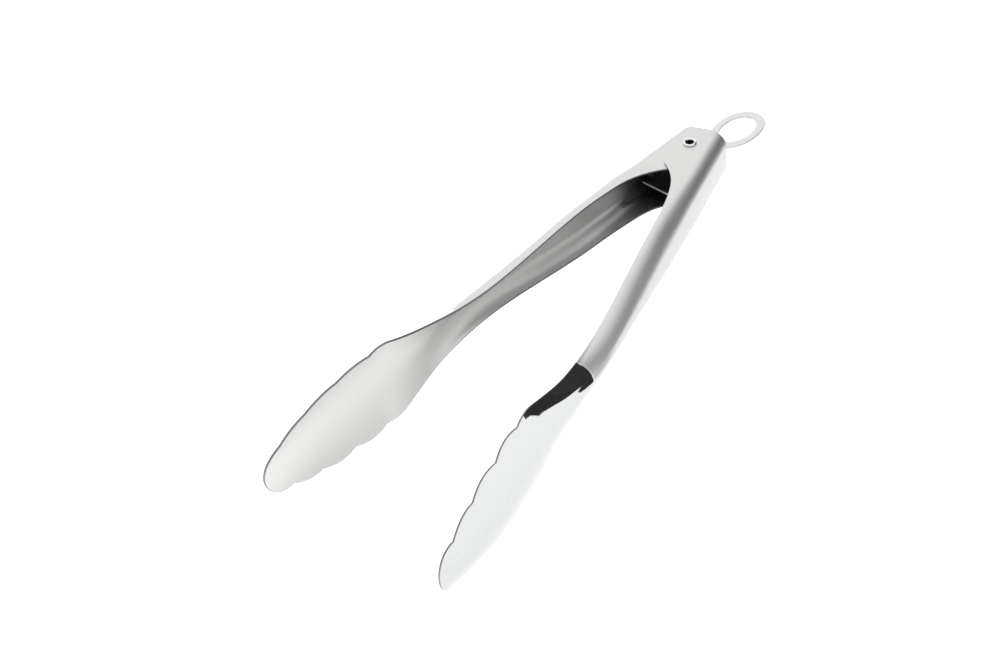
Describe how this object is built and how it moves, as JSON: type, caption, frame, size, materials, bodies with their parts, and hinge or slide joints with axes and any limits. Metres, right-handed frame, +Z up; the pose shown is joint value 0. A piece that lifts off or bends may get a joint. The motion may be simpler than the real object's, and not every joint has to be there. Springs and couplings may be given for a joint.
{
  "type": "kitchen tongs",
  "caption": "Spring loaded kitchen tongs: stamped steel arms with scalloped spoon heads, hinged on a hollow rivet, with a sliding pull ring that locks them shut.",
  "frame": {"origin": "on the rivet axis, at half the height of the rivet", "axes": "+X midway between the arms towards the heads, +Y towards the outer arm, +Z up along the rivet; the tongs lie on one side, fully open"},
  "size_m": [0.3094, 0.0948, 0.045],
  "materials": {
    "arm_steel": "satin handle, mirror polished back of the head",
    "rivet_steel": "bright rolled edge",
    "plate_steel": "tumbled sheet",
    "spring_steel": "drawn wire",
    "spacer_nylon": "moulded nylon"
  },
  "bodies": {
    "inner_arm": {"arm_left": "arm_steel", "pivot_rivet": "rivet_steel", "spacers": "spacer_nylon", "latch_guide": "plate_steel", "spring_upper": "spring_steel", "spring_lower": "spring_steel"},
    "outer_arm": {"arm_right": "arm_steel", "catch_right": "plate_steel"},
    "latch": {"latch_ring": "plate_steel"}
  },
  "joints": [
    {"name": "arm_close", "type": "hinge", "parent": "inner_arm", "child": "outer_arm", "pos_m": [0, 0, 0], "axis": [0, 0, 1], "range_deg": [-19.5, 0], "stiffness_Nm_per_rad": 0.8, "springref_deg": 20.05, "deforming": ["spring_upper", "spring_lower"]},
    {"name": "ring_pull", "type": "slide", "parent": "inner_arm", "child": "latch", "axis": [-0.9856, 0.1693, 0], "range_m": [0, 0.008]}
  ]
}
